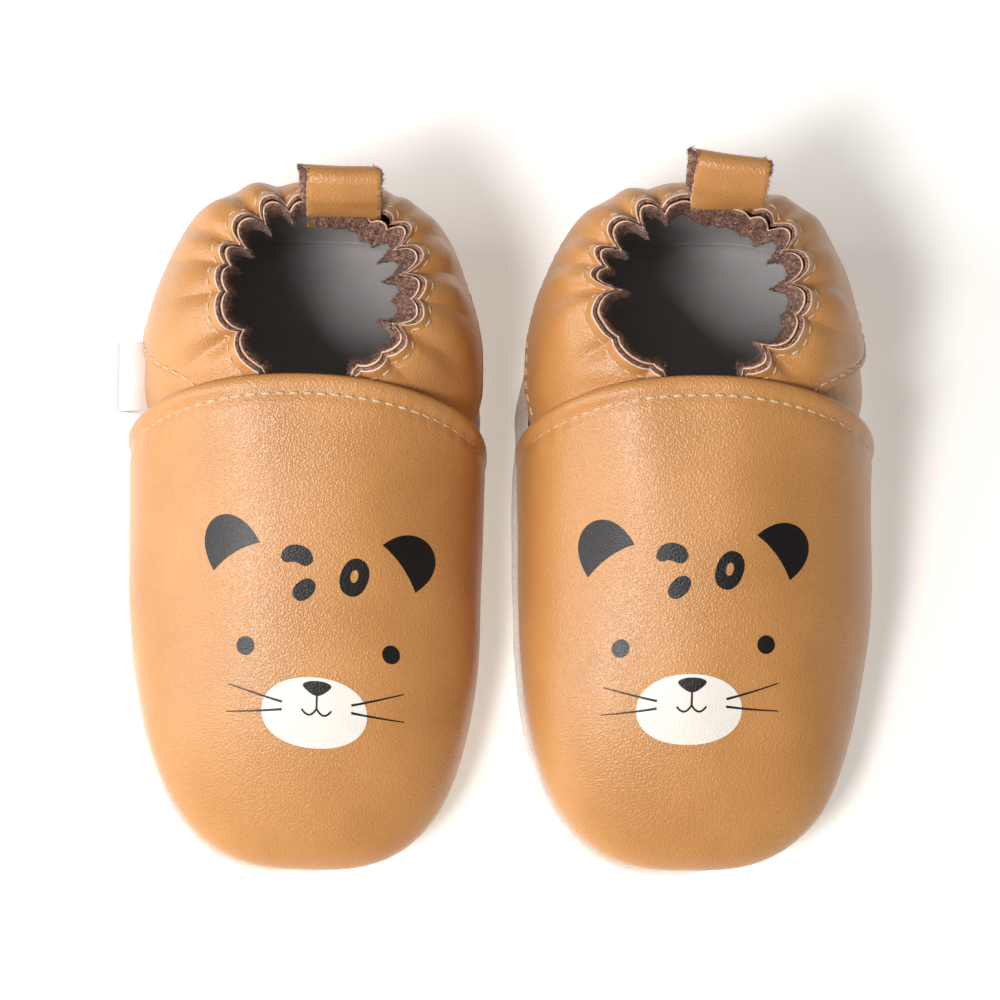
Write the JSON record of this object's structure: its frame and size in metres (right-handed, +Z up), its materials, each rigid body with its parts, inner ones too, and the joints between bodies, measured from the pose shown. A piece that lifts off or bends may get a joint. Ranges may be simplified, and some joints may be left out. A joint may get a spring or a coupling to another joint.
{
  "type": "baby bootie",
  "caption": "Pair of soft-soled leather baby booties with an elasticated ankle cuff, a turned toe-cap hem, a heel pull loop and a suede sole.",
  "frame": {"origin": "middle of the pair's bounding box, on the floor under the soles", "axes": "+Z up from the floor, +Y from the toes to the heels, +X from the left bootie in the picture to the right one"},
  "size_m": [0.1392, 0.1246, 0.0637],
  "materials": {
    "tan_leather": "fine pebbled grain, satin",
    "brown_suede": "napped flesh side, matt",
    "white_suede": "napped suede, matt",
    "foam": "soft pad, matt",
    "grey_lining": "fine knit, matt",
    "elastic": "woven, matt",
    "thread": "twisted thread, low sheen",
    "woven_label": "fine woven tape, matt"
  },
  "bodies": {
    "left_bootie": {"left_outsole": "white_suede", "left_sole_foam": "foam", "left_insole": "grey_lining", "left_vamp": "tan_leather", "left_heel_panel": "tan_leather", "left_ankle_cuff": "tan_leather", "left_cuff_facing": "brown_suede", "left_elastic_band": "elastic", "left_pull_loop_tab": "tan_leather", "left_hem_thread": "thread", "left_cuff_thread": "thread", "left_collar_thread": "thread", "left_sole_thread": "thread"},
    "left_loop": {"left_pull_loop": "tan_leather"},
    "left_label": {"left_side_label": "woven_label"},
    "right_bootie": {"right_outsole": "white_suede", "right_sole_foam": "foam", "right_insole": "grey_lining", "right_vamp": "tan_leather", "right_heel_panel": "tan_leather", "right_ankle_cuff": "tan_leather", "right_cuff_facing": "brown_suede", "right_elastic_band": "elastic", "right_pull_loop_tab": "tan_leather", "right_hem_thread": "thread", "right_cuff_thread": "thread", "right_collar_thread": "thread", "right_sole_thread": "thread"},
    "right_loop": {"right_pull_loop": "tan_leather"}
  },
  "joints": [
    {"name": "left_loop_flex", "type": "hinge", "parent": "left_bootie", "child": "left_loop", "pos_m": [-0.02819, 0.05217, 0.05174], "axis": [0.9997, -0.0262, 0], "range_deg": [-35, 60], "stiffness_Nm_per_rad": 0.002},
    {"name": "left_label_flex", "type": "hinge", "parent": "left_bootie", "child": "left_label", "pos_m": [-0.06409, 0.0212, 0.0232], "axis": [0.0908, 0.9959, 0], "range_deg": [-50, 25], "stiffness_Nm_per_rad": 0.0008},
    {"name": "right_bootie_lift", "type": "slide", "parent": "left_bootie", "child": "right_bootie", "axis": [0, 0, 1], "range_m": [0, 0.1]},
    {"name": "right_loop_flex", "type": "hinge", "parent": "right_bootie", "child": "right_loop", "pos_m": [0.04107, 0.05233, 0.05165], "axis": [1, 0, 0], "range_deg": [-35, 60], "stiffness_Nm_per_rad": 0.002}
  ]
}
